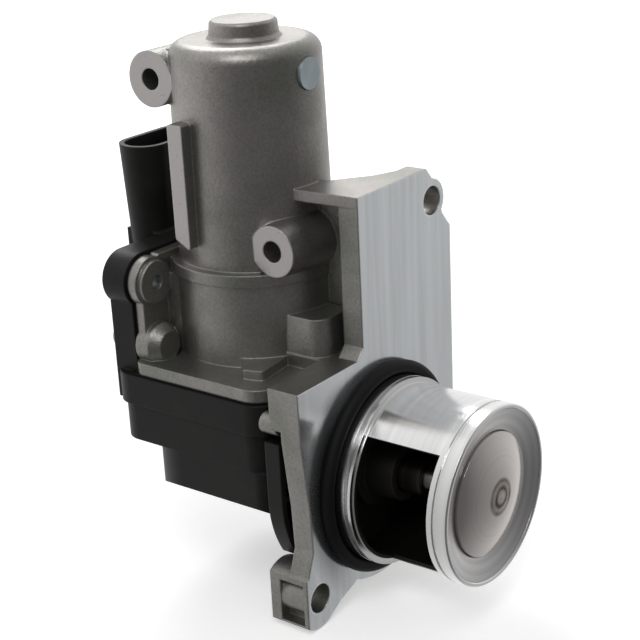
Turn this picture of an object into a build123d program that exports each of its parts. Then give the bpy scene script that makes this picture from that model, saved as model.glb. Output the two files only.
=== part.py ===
from build123d import *
from math import acos, atan2, cos, degrees, pi, radians, sin, sqrt, tan
import os

os.makedirs("parts", exist_ok=True)

# The valve tube points along -Y from the machined flange face at Y 0, and its axis is X 0, Z 0.
# The motor stands along +Z behind the flange. All sizes are in millimetres.

# Fits
fit = 0.05
run_fit = 0.08
seat_gap = 0.3

# Flange and its two bolt lugs
flange_t = 6.5
flange_left = -37.0
flange_right = 38.0
flange_top = 80.7
flange_step_z = 35.0
flange_step_x = -7.0
flange_rim_t = 10.0
skirt_wall = 2.85
bolt_r = 4.25
upper_bolt_x = 28.7
upper_bolt_z = 70.9
upper_lug_r = 6.3
lower_bolt_x = -31.9
lower_bolt_z = -27.8
lower_lug_r = 9.2
lower_lug_t = 13.0
lug_side_wall = 1.2
relief_start = 1.5
relief_end = 9.5
neck_step = 4.45
neck_end = 9.0
spring_pocket_r = 12.2
spring_pocket_y = 6.5
pocket_wall = 2.4
nose_end = 12.6

# Valve tube, seat and O-ring
tube_r = 25.55
tube_wall = 1.3
tube_len = 37.7
tube_root = 4.0
collar_step = 1.5
collar_len = 8.0
groove_w = 1.0
window_start = 8.3
tube_rim = 6.2
window_top_z = 18.0
window_low_deg = -72.0
seat_t = 6.5
seat_lip = 0.4
seat_depth = 2.3
seat_w = 8.45
seat_touch = 0.1
disc_lap = 1.8
dome_h = 3.2
o_ring_wire = 1.9

# Stem, guide and return spring
stem_r = 3.5
guide_wall = 1.8
guide_front = 16.0
guide_back = 8.3
seal_len = 2.8
guide_boss_r = 9.0
guide_boss_len = 9.0
spring_wire = 0.6
spring_r = 9.4
spring_turns = 3.5
plate_r = 11.3
plate_t = 1.5
plate_y = 19.0

# Crank drive: the roller runs in the yoke's slot
crank_r = 5.5
crank_half_deg = 40.0
crank_pin_r = 2.0
crank_pin_low = -4.2
crank_bottom = 5.0
crank_arm_t = 3.0
crank_eye_r = 3.6
roller_r = 4.0
roller_h = 7.0
slot_play = 0.2
yoke_wall = 2.3
yoke_half_w = 8.6
yoke_h = 7.0
tail_t = 3.0
tail_len = 5.0
magnet_w = 6.0
magnet_len = 4.0
magnet_h = 5.0
board_y = 48.0
board_len = 16.0
board_w = 20.0
board_t = 1.2
chip_w = 6.0
chip_len = 5.0
chip_t = 1.5

# Gear train: pinion and wheel, then pinion and toothed sector
module_1 = 0.7
pinion_teeth = 10
wheel_teeth = 38
module_2 = 0.8
small_teeth = 12
sector_teeth = 34
pressure_deg = 25.0
backlash = 0.14
wheel_low = 20.0
wheel_t = 5.0
sector_low = 12.8
sector_t = 6.0
mesh_over = 0.7
hub_r = 6.2
output_pin_r = 3.0
idler_pin_r = 2.0
idler_hub_r = 4.4
idler_boss_top = 11.4
idler_pin_low = 3.4
rim_t = 2.0
web_drop = 2.4
output_y = 31.0
sector_margin_deg = 13.0

# Motor in its blind bore
motor_y = 41.3
motor_top = 119.6
motor_top_r = 21.3
motor_base_r = 22.3
top_round = 4.5
cap_r = 9.74
cap_h = 5.0
ring_r = 25.0
ring_low = 55.0
ring_top = 58.5
barrel_r = 24.3
bore_r = 18.9
roof_t = 4.0
can_r = 18.6
can_wall = 1.1
can_low = 46.0
can_gap = 0.8
magnet_t = 3.2
air_gap = 0.6
core_low = 56.0
core_drop = 14.8
winding_over = 5.5
commutator_r = 6.0
commutator_low = 37.0
commutator_top = 46.0
shaft_r = 2.0
shaft_over = 3.6
slot_count = 8
slot_w = 3.2
slot_deep = 6.0
magnet_half_deg = 62.0
bearing_r = 5.0
bearing_t = 4.0
lower_bearing_z = 29.6
boss_wall = 1.6
holder_low = 34.6
holder_t = 1.6
brush_low = 39.0
brush_t = 4.0
brush_w = 3.6
brush_len = 7.0

# Gear plate that closes the bore and carries both gear pins
gear_plate_low = 28.0
gear_plate_t = 3.0
gear_plate_r = 23.4
plate_screw_r = 1.5
plate_screw_pcr = 20.6
plate_screw_degs = (10.0, 170.0, 270.0)
plate_screw_grip = 5.0
plate_head_r = 2.6
plate_head_t = 1.3

# Cover: three tiers, a rear riser, a front skirt and the connector shroud
seam_z = 27.0
seal_t = 0.6
cover_left = -35.0
cover_right = 26.0
cover_front = 13.4
cover_rear = 70.5
cover_wall = 1.8
tier_1_low = 18.0
tier_2_low = 6.5
tier_step = 0.9
tier_corner = 7.0
low_rear = 62.0
low_corner = 15.0
floor_z = -15.2
side_low_z = -4.6
belly_x = -18.3
belly_right = 6.0
low_inset = 1.0
low_front = 14.0
riser_front = 62.0
riser_top = 61.6
riser_left = -32.0
riser_right = 23.0
pocket_left = -18.0
pocket_right = 16.0
pocket_rear = 68.3
screw_x = (-26.5, 17.5)
screw_z = (35.0, 53.6)
riser_lug_r = 8.0
alu_lug_r = 6.3
alu_lug_len = 4.6
cover_screw_r = 2.0
screw_head_r = 3.6
screw_head_t = 2.4
front_skirt_out = 0.8
front_skirt_t = 5.0
front_skirt_top = 17.5
rib_count = 10
socket_x = 1.0
socket_y = 76.1
socket_r = 7.6
socket_half = 7.4
socket_top = 87.8
socket_low = 58.0
socket_floor = 62.0
socket_wall = 1.6
socket_draft = 2.6
gusset_low = 40.0
gusset_out = 82.0
gusset_half = 12.0
terminal_count = 5
terminal_pitch = 4.0
terminal_w = 1.6
terminal_t = 0.8
terminal_top = 74.0
terminal_turn_z = 57.0
terminal_leg_y = 67.0
terminal_low = 46.0

# Housing base, rear plate, bosses and ribs
base_t = 3.6
base_inset = 0.7
rear_plate_t = 3.0
rear_wall = 3.0
rear_box_left = -21.0
rear_box_right = 19.0
rear_box_top = 55.0
side_face_x = -17.7
side_hole_r = 3.05
side_hole_depth = 7.0
ear_y = 61.0
ear_drop = 10.2
ear_r = 7.9
ear_len = 17.0
boss_y = 21.4
boss_z = 65.5
boss_r = 7.3
boss_root_r = 9.0
boss_len = 22.0
web_x = 1.0
web_t = 8.0
far_web_x = 22.0
far_web_t = 5.0
shelf_t = 3.2
block_left = -14.0
block_right = 1.0
block_top = 46.0
block_front = 8.6
mark_rib_x = -25.2
mark_rib_y = 46.8
mark_rib_w = 5.2
mark_rib_low = 66.0
mark_rib_drop = 20.1
stub_x = -33.0
stub_z = 23.0
stub_r = 3.0
stub_len = 5.6
plug_drop = 8.6
plug_r = 4.4
plug_x = 0.5
plug_deep = 3.0
plug_t = 1.2
plug_shank = 1.4


def front(y):
    """Sketch plane across the valve axis at depth y: local x is X, local y is Z."""
    return Plane.XZ.offset(-y)


def side(x):
    """Sketch plane across X at x: local x is Y, local y is Z."""
    return Plane.YZ.offset(x)


def level(z, place=(0, 0)):
    """Sketch plane square to the motor at height z, with a place as its origin."""
    return Plane(origin=(place[0], place[1], z))


def save(builder, name):
    builder.part.label = name
    export_step(builder.part, "parts/" + name + ".step")


def involute(base, radius):
    """Polar angle of the involute of a base circle where it reaches a radius."""
    roll = sqrt(max(radius * radius / (base * base) - 1, 0))
    return roll - atan2(roll, 1)


def gear_outline(module, teeth, turn_deg, first=0, count=None):
    """Closed points of a spur gear, or of a sector with the teeth first to first + count - 1."""
    pitch = module * teeth / 2
    base = pitch * cos(radians(pressure_deg))
    tip = pitch + 0.95 * module
    root = pitch - 1.2 * module
    low = max(root, base)
    half_pitch = pi / (2 * teeth) - backlash / (4 * pitch)
    half_base = half_pitch + involute(base, pitch)
    radii = [low, (low + pitch) / 2, pitch, tip]
    flank = [(root, half_base - involute(base, low))] if root < base else []
    flank += [(r, half_base - involute(base, r)) for r in radii]
    points = []
    for tooth in range(first, first + (count or teeth)):
        middle = radians(turn_deg) + 2 * pi * tooth / teeth
        for r, half in flank:
            points.append((r * cos(middle - half), r * sin(middle - half)))
        for r, half in reversed(flank):
            points.append((r * cos(middle + half), r * sin(middle + half)))
    return points


# Sizes and places that follow from the sizes above
collar_r = tube_r + collar_step
skirt_r = collar_r + 2 * o_ring_wire + skirt_wall
neck_r = tube_r + neck_step
front_skirt_r = skirt_r + front_skirt_out
window_end = tube_len - tube_rim
seat_back = tube_len - seat_t
seat_cone = tube_len - seat_depth
port_r = tube_r - tube_wall - seat_w
disc_r = port_r + disc_lap
bore_top = motor_top - roof_t
can_top = bore_top - can_gap
core_top = can_top - core_drop
shaft_top = bore_top + shaft_over
ear_z = motor_top - ear_drop
plug_z = motor_top - plug_drop
mark_rib_top = motor_top - mark_rib_drop
wheel_span = module_1 * (pinion_teeth + wheel_teeth) / 2
sector_span = module_2 * (small_teeth + sector_teeth) / 2
output_x = crank_r * (1 + cos(radians(crank_half_deg))) / 2
crank_rest_x = output_x - crank_r * cos(radians(crank_half_deg))
crank_rest_y = output_y + crank_r * sin(radians(crank_half_deg))
axis_gap = sqrt(output_x ** 2 + (output_y - motor_y) ** 2)
toward_output = atan2(output_y - motor_y, output_x)
idler_turn = acos((axis_gap ** 2 + wheel_span ** 2 - sector_span ** 2) / (2 * axis_gap * wheel_span))
idler_x = wheel_span * cos(toward_output - idler_turn)
idler_y = motor_y + wheel_span * sin(toward_output - idler_turn)
idler_to_output = degrees(atan2(output_y - idler_y, output_x - idler_x))
motor_to_idler = degrees(atan2(idler_y - motor_y, idler_x))
motor_axis = Axis((0, motor_y, 0), (0, 0, 1))
valve_axis = Axis((0, 0, 0), (0, 1, 0))
base_top = seam_z + seal_t + base_t
rear_face = riser_front - seal_t
guide_r = stem_r + run_fit + guide_wall
lug_left = lower_bolt_x - bolt_r - lug_side_wall
lobe = (lower_bolt_x, lower_bolt_z)
idler_low = sector_low - mesh_over
output_low = crank_bottom + 2.5
plug_y = motor_y - motor_top_r + 0.6
plate_screws = [
    (plate_screw_pcr * cos(radians(a)), motor_y + plate_screw_pcr * sin(radians(a)))
    for a in plate_screw_degs
]
motor = (0, motor_y)
idler = (idler_x, idler_y)
output = (output_x, output_y)
magnet_ring_r = can_r - can_wall - fit
core_r = magnet_ring_r - magnet_t - air_gap
brush_mid_r = commutator_r + 0.2 + brush_len / 2
socket = (socket_x, socket_y)
terminal_x = [socket_x + (i - (terminal_count - 1) / 2) * terminal_pitch for i in range(terminal_count)]
blade_front = socket_y - terminal_t / 2
blade_back = socket_y + terminal_t / 2
leg_back = terminal_leg_y + terminal_t
terminal_path = [
    (blade_front, terminal_top),
    (blade_back, terminal_top),
    (blade_back, terminal_turn_z - terminal_t),
    (leg_back, terminal_turn_z - terminal_t),
    (leg_back, terminal_low),
    (terminal_leg_y, terminal_low),
    (terminal_leg_y, terminal_turn_z),
    (blade_front, terminal_turn_z),
]
wheel_root_r = module_1 * (wheel_teeth / 2 - 1.2)

# Flange: plate, skirt round the tube and the two lugs
with BuildPart() as valve_housing:
    with BuildSketch(front(0)):
        with BuildLine():
            Polyline(
                (flange_step_x, flange_top),
                (upper_bolt_x - 2.4, flange_top),
                (upper_bolt_x + 1.0, upper_bolt_z + 5.9),
                (upper_bolt_x + 5.5, upper_bolt_z - 5.1),
                (flange_right, upper_bolt_z - 9.6),
                (flange_right, 8.0),
                (skirt_r * cos(radians(-20)), skirt_r * sin(radians(-20))),
                (0, -skirt_r / 2),
                (lower_bolt_x + 16.8, lower_bolt_z - 3.0),
                (lower_bolt_x + 9.3, lower_bolt_z - 5.4),
                (lower_bolt_x + 4.0, lower_bolt_z - 8.2),
                (lug_left, lower_bolt_z + 5.6),
                (-skirt_r, lower_bolt_z + 15.0),
                (-skirt_r - 0.6, 0),
                (flange_left + 0.3, 20.0),
                (flange_left, flange_step_z),
                (flange_step_x - 3.0, flange_step_z),
                (flange_step_x, flange_step_z + 3.0),
                close=True,
            )
        make_face()
        Circle(skirt_r)
        with Locations((upper_bolt_x, upper_bolt_z)):
            Circle(upper_lug_r)
    extrude(amount=-flange_t)
    # Lower lug, cut flat on the outer side
    with BuildSketch(front(0)):
        with Locations(lobe):
            Circle(lower_lug_r)
        with Locations((lug_left - lower_lug_r, lower_bolt_z)):
            Rectangle(2 * lower_lug_r, 4 * lower_lug_r, mode=Mode.SUBTRACT)
    extrude(amount=-lower_lug_t)
    # Thick rim along the step of the flange
    with BuildSketch(front(0)):
        with BuildLine():
            Polyline(
                (flange_left, flange_step_z),
                (flange_left + 0.2, flange_step_z - 12.0),
                (flange_left + 6.0, flange_step_z - 9.0),
                (flange_left + 11.0, flange_step_z - 6.0),
                (flange_step_x, flange_step_z - 6.0),
                (flange_step_x, flange_step_z),
                close=True,
            )
        make_face()
    extrude(amount=-flange_rim_t)
    # Neck behind the plate and the nose round the spring pocket
    with BuildSketch(front(0)):
        Circle(neck_r)
    extrude(amount=-neck_end)
    with BuildSketch(front(0)):
        Circle(spring_pocket_r + pocket_wall)
    extrude(amount=-nose_end)
    # Gusset shelf from the flange top to the motor barrel
    with BuildSketch(Plane.XY.offset(flange_top)):
        with BuildLine():
            Polyline(
                (flange_step_x, 0),
                (upper_bolt_x - 8.0, 0),
                (upper_bolt_x - 8.0, flange_t),
                (upper_bolt_x - 15.0, flange_t + 3.0),
                (2.0, motor_y - motor_base_r),
                (0, motor_y - motor_base_r / 2),
                (flange_step_x - 1.0, motor_y - motor_base_r / 2),
                close=True,
            )
        make_face()
    extrude(amount=-shelf_t)
    # Two upright webs between the flange and the barrel
    with BuildSketch(Plane.XY.offset(seam_z + seal_t)):
        with Locations((web_x + web_t / 2, motor_y / 2)):
            Rectangle(web_t, motor_y - flange_t)
    extrude(amount=flange_top - seam_z - seal_t - shelf_t / 2)
    with BuildSketch(Plane.XY.offset(seam_z + seal_t)):
        with BuildLine():
            Polyline(
                (far_web_x, flange_t / 2),
                (far_web_x + far_web_t, flange_t / 2),
                (motor_base_r - 2.0, motor_y - 6.0),
                (motor_base_r - 8.0, motor_y - 8.0),
                close=True,
            )
        make_face()
    extrude(amount=upper_bolt_z - seam_z - seal_t - 4.0)
    # Motor barrel with its step ring, rounded crown and bearing cap
    with BuildSketch(front(motor_y)):
        with BuildLine():
            Polyline(
                (0, seam_z + seal_t),
                (barrel_r, seam_z + seal_t),
                (barrel_r, ring_low),
                (ring_r, ring_low),
                (ring_r, ring_top),
                (motor_base_r, ring_top),
                (motor_top_r, motor_top - top_round),
            )
            CenterArc((motor_top_r - top_round, motor_top - top_round), top_round, 0, 90)
            Polyline(
                (motor_top_r - top_round, motor_top),
                (cap_r + 0.8, motor_top),
                (cap_r, motor_top + 1.0),
                (cap_r - 0.3, motor_top + cap_h - 0.7),
                (cap_r - 1.0, motor_top + cap_h),
                (0, motor_top + cap_h),
                (0, seam_z + seal_t),
            )
        make_face()
    revolve(axis=motor_axis)
    # Base flange over the cover's rim and the bridge to the flange
    with BuildSketch(Plane.XY.offset(seam_z + seal_t)):
        with BuildLine():
            FilletPolyline(
                (cover_left + base_inset, cover_front + base_inset),
                (cover_right - base_inset, cover_front + base_inset),
                (cover_right - base_inset, rear_face),
                (cover_left + base_inset, rear_face),
                radius=(tier_corner, tier_corner, 3.0, 3.0),
                close=True,
            )
        make_face()
    extrude(amount=base_t)
    with BuildSketch(Plane.XY.offset(seam_z + seal_t)):
        with BuildLine():
            Polyline(
                (block_left, flange_t / 2),
                (far_web_x + far_web_t, flange_t / 2),
                (far_web_x, cover_front + 8.0),
                (block_left, cover_front + 8.0),
                close=True,
            )
        make_face()
    extrude(amount=flange_step_z - seam_z - seal_t)
    # Rounded block at the left, in front of the barrel
    with BuildSketch(Plane.XY.offset(seam_z + seal_t)):
        with BuildLine():
            FilletPolyline(
                (block_left, block_front),
                (block_right, block_front),
                (block_right, motor_y - 14.0),
                (block_left, motor_y - 14.0),
                radius=(5.0, 0.5, 0.5, 0.5),
                close=True,
            )
        make_face()
    extrude(amount=block_top - seam_z - seal_t, taper=2)
    # Corner pad beside the barrel
    with BuildSketch(Plane.XY.offset(base_top - 1.0)):
        with BuildLine():
            FilletPolyline(
                (cover_left + 6.6, cover_front + 12.2),
                (cover_left + 8.2, cover_front + 6.4),
                (cover_left + 22.0, cover_front + 8.0),
                (cover_left + 24.0, cover_front + 20.0),
                (cover_left + 12.6, cover_front + 17.8),
                radius=1.5,
                close=True,
            )
        make_face()
    extrude(amount=3.8)
    # Rear box and the rear plate with its four screw lugs
    with BuildSketch(Plane.XY.offset(seam_z + seal_t)):
        with BuildLine():
            Polyline(
                (rear_box_left, motor_y),
                (rear_box_right, motor_y),
                (rear_box_right, rear_face),
                (rear_box_left, rear_face),
                close=True,
            )
        make_face()
    extrude(amount=rear_box_top - seam_z - seal_t)
    with BuildSketch(front(rear_face)):
        with BuildLine():
            Polyline(
                (riser_left + 0.8, seam_z + seal_t),
                (riser_right - 0.8, seam_z + seal_t),
                (riser_right - 0.8, riser_top - 0.8),
                (riser_left + 0.8 + riser_lug_r, riser_top - 0.8),
                (riser_left + 0.8, riser_top - riser_lug_r),
                close=True,
            )
        make_face()
        for x in screw_x:
            with Locations((x, screw_z[1])):
                Circle(riser_lug_r - 0.8)
    extrude(amount=rear_plate_t)
    with BuildSketch(front(rear_face)):
        for x in screw_x:
            for z in screw_z:
                with Locations((x, z)):
                    Circle(alu_lug_r)
    extrude(amount=alu_lug_len)
    for z in screw_z[:1]:
        with BuildSketch(front(rear_face - alu_lug_len)):
            with Locations((screw_x[0], z)):
                Circle(alu_lug_r)
        extrude(amount=3.0, taper=35)
    # Ear and side boss, both facing -X
    with BuildSketch(side(side_face_x)):
        with Locations((ear_y, ear_z)):
            Circle(ear_r)
    extrude(amount=ear_len)
    with BuildSketch(side(side_face_x + 5.0)):
        with BuildLine():
            Polyline(
                (ear_y, ear_z + ear_r - 0.3),
                (motor_y, motor_top - 1.5),
                (motor_y, ear_z - ear_r - 4.0),
                (ear_y, ear_z - ear_r + 0.3),
                close=True,
            )
        make_face()
    extrude(amount=ear_len - 4.0)
    with BuildSketch(side(side_face_x)) as boss_face:
        with Locations((boss_y, boss_z)):
            Circle(boss_r)
    with BuildSketch(side(side_face_x + boss_len)) as boss_root:
        with Locations((boss_y + 0.8, boss_z - 1.0)):
            Circle(boss_root_r)
    loft(sections=[boss_face.sketch, boss_root.sketch])
    # Raised marking rib at the left of the barrel
    with BuildSketch(side(mark_rib_x)):
        with BuildLine():
            FilletPolyline(
                (mark_rib_y - mark_rib_w / 2, mark_rib_low - 2.0),
                (mark_rib_y - mark_rib_w / 2, mark_rib_top),
                (mark_rib_y + mark_rib_w / 2, mark_rib_top),
                (mark_rib_y + mark_rib_w / 2, mark_rib_low + 1.0),
                radius=0.8,
                close=True,
            )
        make_face()
    extrude(amount=motor_base_r - sqrt(motor_base_r ** 2 - 16.0 ** 2) + 6.0)
    # Stub that locates the cover at its front corner
    with BuildSketch(front(flange_rim_t - 1.0)):
        with Locations((stub_x, stub_z)):
            Circle(stub_r)
    extrude(amount=-stub_len)
    # Guide boss inside the tube
    with BuildSketch(front(0)):
        Circle(guide_boss_r + 3.0)
    extrude(amount=-neck_end)
    # Motor bore, gear plate seat, wire passage and the pocket of the rear box
    with BuildSketch(Plane.XY.offset(seam_z)):
        with Locations((0, motor_y)):
            Circle(bore_r)
    extrude(amount=bore_top - seam_z, mode=Mode.SUBTRACT)
    with BuildSketch(Plane.XY.offset(seam_z)):
        with Locations((0, motor_y)):
            Circle(gear_plate_r + fit)
    extrude(amount=gear_plate_low + gear_plate_t + fit - seam_z, mode=Mode.SUBTRACT)
    with BuildSketch(Plane.XY.offset(bore_top - 1.0)):
        with Locations((0, motor_y)):
            Circle(bearing_r + fit)
    extrude(amount=bearing_t + 2.4, mode=Mode.SUBTRACT)
    with BuildSketch(Plane.XY.offset(seam_z)):
        with BuildLine():
            FilletPolyline(
                (rear_box_left + rear_wall, motor_y + 8.0),
                (rear_box_right - rear_wall, motor_y + 8.0),
                (rear_box_right - rear_wall, pocket_rear),
                (rear_box_left + rear_wall, pocket_rear),
                radius=2.0,
                close=True,
            )
        make_face()
    extrude(amount=rear_box_top - rear_wall - seam_z, mode=Mode.SUBTRACT)
    # Tube seat, spring pocket and guide bore
    with BuildSketch(front(0)):
        Circle(tube_r + fit)
        Circle(guide_boss_r + 3.0, mode=Mode.SUBTRACT)
    extrude(amount=-(tube_root + fit), mode=Mode.SUBTRACT)
    with BuildSketch(front(nose_end)):
        Circle(spring_pocket_r)
        Circle(guide_boss_r - 1.0, mode=Mode.SUBTRACT)
    extrude(amount=nose_end - spring_pocket_y, mode=Mode.SUBTRACT)
    with BuildSketch(front(nose_end + 1.0)):
        Circle(guide_boss_r)
    extrude(amount=nose_end + 1.0 - guide_back - seal_len - fit, mode=Mode.SUBTRACT)
    with BuildSketch(front(0)):
        Circle(guide_r + fit)
    extrude(amount=-nose_end - 1.0, mode=Mode.SUBTRACT)
    # Boss round the guide, reaching into the tube
    with BuildSketch(front(0)):
        Circle(guide_boss_r)
        Circle(guide_r + fit, mode=Mode.SUBTRACT)
    extrude(amount=guide_boss_len, taper=4)
    # Bolt holes, the relief beside the lower one and the threaded side holes
    with BuildSketch(front(-1.0)):
        with Locations((upper_bolt_x, upper_bolt_z), lobe):
            Circle(bolt_r)
    extrude(amount=-(lower_lug_t + 2.0), mode=Mode.SUBTRACT)
    with BuildSketch(front(relief_start)):
        with Locations((lug_left + 0.4, lower_bolt_z - 0.6)):
            Rectangle(6.2, 12.6)
        with Locations(lobe):
            Circle(bolt_r + lug_side_wall - 0.1, mode=Mode.SUBTRACT)
    extrude(amount=-(relief_end - relief_start), mode=Mode.SUBTRACT)
    with BuildSketch(side(side_face_x - 1.0)):
        with Locations((ear_y, ear_z), (boss_y, boss_z)):
            Circle(side_hole_r)
    extrude(amount=side_hole_depth + 1.0, mode=Mode.SUBTRACT)
    with BuildSketch(front(rear_face + 1.0)):
        for x in screw_x:
            for z in screw_z:
                with Locations((x, z)):
                    Circle(cover_screw_r + fit)
    extrude(amount=alu_lug_len + 1.0 + fit, mode=Mode.SUBTRACT)
    # The lug at the top left is tapped through, so its hole shows
    with BuildSketch(front(rear_face + 1.0)):
        with Locations((screw_x[0], screw_z[1])):
            Circle(cover_screw_r + fit)
    extrude(amount=alu_lug_len + 8.0, mode=Mode.SUBTRACT)
    # Spot face and hole of the core plug on the barrel
    with BuildSketch(front(plug_y - 3.0)):
        with Locations((plug_x, plug_z)):
            Circle(plug_r + fit)
    extrude(amount=-3.0, mode=Mode.SUBTRACT)
    with BuildSketch(front(plug_y)):
        with Locations((plug_x, plug_z)):
            Circle(plug_r - 0.8 + fit)
    extrude(amount=-plug_deep, mode=Mode.SUBTRACT)
    # Threads of the gear plate's screws
    with BuildSketch(Plane.XY.offset(gear_plate_low)):
        with Locations(*plate_screws):
            Circle(plate_screw_r + fit)
    extrude(amount=gear_plate_t + plate_screw_grip + fit, mode=Mode.SUBTRACT)
save(valve_housing, "valve_housing")

# Valve tube with its collar and the gas window on the left and below
with BuildPart() as valve_tube:
    with BuildSketch(front(tube_root)):
        Circle(tube_r)
        Circle(tube_r - tube_wall, mode=Mode.SUBTRACT)
    extrude(amount=tube_root + tube_len)
    with BuildSketch(front(0)):
        Circle(collar_r)
        Circle(tube_r - tube_wall, mode=Mode.SUBTRACT)
    extrude(amount=collar_len)
    with BuildSketch(front(-collar_len + 2 * groove_w)):
        Circle(collar_r)
        Circle(tube_r, mode=Mode.SUBTRACT)
    extrude(amount=groove_w, mode=Mode.SUBTRACT)
    with BuildSketch(front(-window_start)) as window:
        with BuildLine():
            Polyline(
                (0, 0),
                (-sqrt(tube_r ** 2 - window_top_z ** 2), window_top_z),
                (-2 * tube_r, window_top_z),
                (-2 * tube_r * cos(radians(window_low_deg)), 2 * tube_r * sin(radians(window_low_deg))),
                (0, 0),
            )
        make_face()
        Circle(tube_r - 2 * tube_wall, mode=Mode.SUBTRACT)
    extrude(amount=window_end - window_start, mode=Mode.SUBTRACT)
    with BuildSketch(front(-(window_end + 1.6))):
        Circle(tube_r + 1.0)
        Circle(tube_r - 0.35, mode=Mode.SUBTRACT)
    extrude(amount=0.8, mode=Mode.SUBTRACT)
    chamfer(valve_tube.faces().sort_by(Axis.Y)[0].edges(), 0.35)
save(valve_tube, "valve_tube")

# Seat ring: a shallow funnel outside, a 45 degree seat round the port
with BuildPart() as valve_seat:
    with BuildSketch(Plane.XY):
        with BuildLine():
            Polyline(
                (port_r, -seat_back),
                (tube_r - tube_wall - fit, -seat_back),
                (tube_r - tube_wall - fit, -(tube_len - seat_lip)),
                (disc_r + 0.4, -seat_cone),
                (port_r, -(seat_cone - disc_r - 0.4 + port_r)),
                (port_r, -seat_back),
            )
        make_face()
    revolve(axis=valve_axis)
save(valve_seat, "valve_seat")

# O-ring round the tube, against the flange face
with BuildPart() as flange_o_ring:
    with BuildSketch(Plane.XY):
        with Locations((collar_r + fit + o_ring_wire, -o_ring_wire - fit)):
            Circle(o_ring_wire)
    revolve(axis=valve_axis)
save(flange_o_ring, "flange_o_ring")

# Domed poppet disc with a hub for the stem
disc_edge = seat_cone + 0.7
dome_ball_r = (disc_r ** 2 + dome_h ** 2) / (2 * dome_h)
with BuildPart() as valve_disc:
    with BuildSketch(Plane.XY):
        with BuildLine():
            Polyline(
                (0, -(disc_edge + dome_h)),
                (0, -(seat_back - 1.5)),
                (stem_r + 2.5, -(seat_back - 1.5)),
                (stem_r + 3.5, -(seat_cone - 2.6)),
                (port_r - 0.6, -(seat_cone - 2.6 + seat_touch)),
                (disc_r, -(seat_cone - 0.4 + 1.42 * seat_touch)),
                (disc_r, -disc_edge),
            )
            RadiusArc((disc_r, -disc_edge), (0, -(disc_edge + dome_h)), dome_ball_r)
        make_face()
    revolve(axis=valve_axis)
    with BuildSketch(front(-(seat_back - 2.0))):
        Circle(stem_r + fit)
    extrude(amount=disc_edge - seat_back + 1.0, mode=Mode.SUBTRACT)
save(valve_disc, "valve_disc")

# Stem with a thinner rear end in the yoke
yoke_slot_w = 2 * (roller_r + slot_play)
yoke_front = crank_rest_y - yoke_slot_w / 2 - yoke_wall
yoke_neck = yoke_front - 4.0
stem_nose = disc_edge - 1.1
with BuildPart() as valve_stem:
    with BuildSketch(front(-stem_nose)):
        Circle(stem_r)
    extrude(amount=-(stem_nose + yoke_neck - fit))
    with BuildSketch(front(yoke_neck - fit)):
        Circle(stem_r - 1.5)
    extrude(amount=-5.0)
    chamfer(valve_stem.faces().sort_by(Axis.Y)[0].edges(), 0.5)
save(valve_stem, "valve_stem")

with BuildPart() as stem_guide:
    with BuildSketch(front(-guide_front)):
        Circle(guide_r)
        Circle(stem_r + run_fit, mode=Mode.SUBTRACT)
    extrude(amount=-(guide_front + guide_back))
    chamfer(stem_guide.faces().sort_by(Axis.Y)[0].edges(), 0.4)
save(stem_guide, "stem_guide")

with BuildPart() as stem_seal:
    with BuildSketch(front(guide_back + fit)):
        Circle(guide_r)
        Circle(stem_r + run_fit, mode=Mode.SUBTRACT)
    extrude(amount=-seal_len)
save(stem_seal, "stem_seal")

# Return spring, a coil between the pocket floor and the spring plate
spring_start = spring_pocket_y + spring_wire + 2 * fit
spring_len = plate_y - spring_start - spring_wire - 2 * fit
spring_pitch = spring_len / spring_turns
with BuildPart() as return_spring:
    with BuildLine() as coil:
        Helix(spring_pitch, spring_len, spring_r, center=(0, spring_start, 0), direction=(0, 1, 0))
    with BuildSketch(Plane(origin=coil.line @ 0, z_dir=coil.line % 0)):
        Circle(spring_wire)
    sweep(is_frenet=True)
save(return_spring, "return_spring")

with BuildPart() as spring_plate:
    with BuildSketch(front(plate_y)):
        Circle(plate_r)
        Circle(stem_r + fit, mode=Mode.SUBTRACT)
    extrude(amount=-plate_t)
save(spring_plate, "spring_plate")

# Yoke with a cross slot for the crank's roller and a tail that carries the magnet
yoke_back = crank_rest_y + yoke_slot_w / 2 + yoke_wall
slot_half = crank_r * (1 - cos(radians(crank_half_deg))) / 2 + roller_r + 0.5
with BuildPart() as stem_yoke:
    with BuildSketch(Plane.XY.offset(-yoke_h / 2)):
        with BuildLine():
            FilletPolyline(
                (-yoke_half_w, yoke_front),
                (-stem_r - 0.5, yoke_front),
                (-stem_r - 0.5, yoke_neck),
                (stem_r + 0.5, yoke_neck),
                (stem_r + 0.5, yoke_front),
                (yoke_half_w, yoke_front),
                (yoke_half_w, yoke_back),
                (magnet_w / 2, yoke_back),
                (magnet_w / 2, yoke_back + tail_len),
                (-magnet_w / 2, yoke_back + tail_len),
                (-magnet_w / 2, yoke_back),
                (-yoke_half_w, yoke_back),
                radius=0.6,
                close=True,
            )
        make_face()
        with Locations((0, crank_rest_y)):
            Rectangle(2 * slot_half, yoke_slot_w, mode=Mode.SUBTRACT)
    extrude(amount=yoke_h)
    with BuildSketch(Plane.XY.offset(-yoke_h)):
        with Locations((0, yoke_back + tail_len)):
            Rectangle(2 * yoke_half_w, 2 * tail_len - 0.4)
    extrude(amount=yoke_h - tail_t / 2, mode=Mode.SUBTRACT)
    with BuildSketch(front(yoke_neck - 1.0)):
        Circle(stem_r - 1.5 + fit)
    extrude(amount=-6.2, mode=Mode.SUBTRACT)
save(stem_yoke, "stem_yoke")

with BuildPart() as sensor_magnet:
    with BuildSketch(Plane.XY.offset(-tail_t / 2 - fit)):
        with Locations((0, yoke_back + tail_len - magnet_len / 2)):
            Rectangle(magnet_w, magnet_len)
    extrude(amount=-magnet_h)
save(sensor_magnet, "sensor_magnet")

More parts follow.
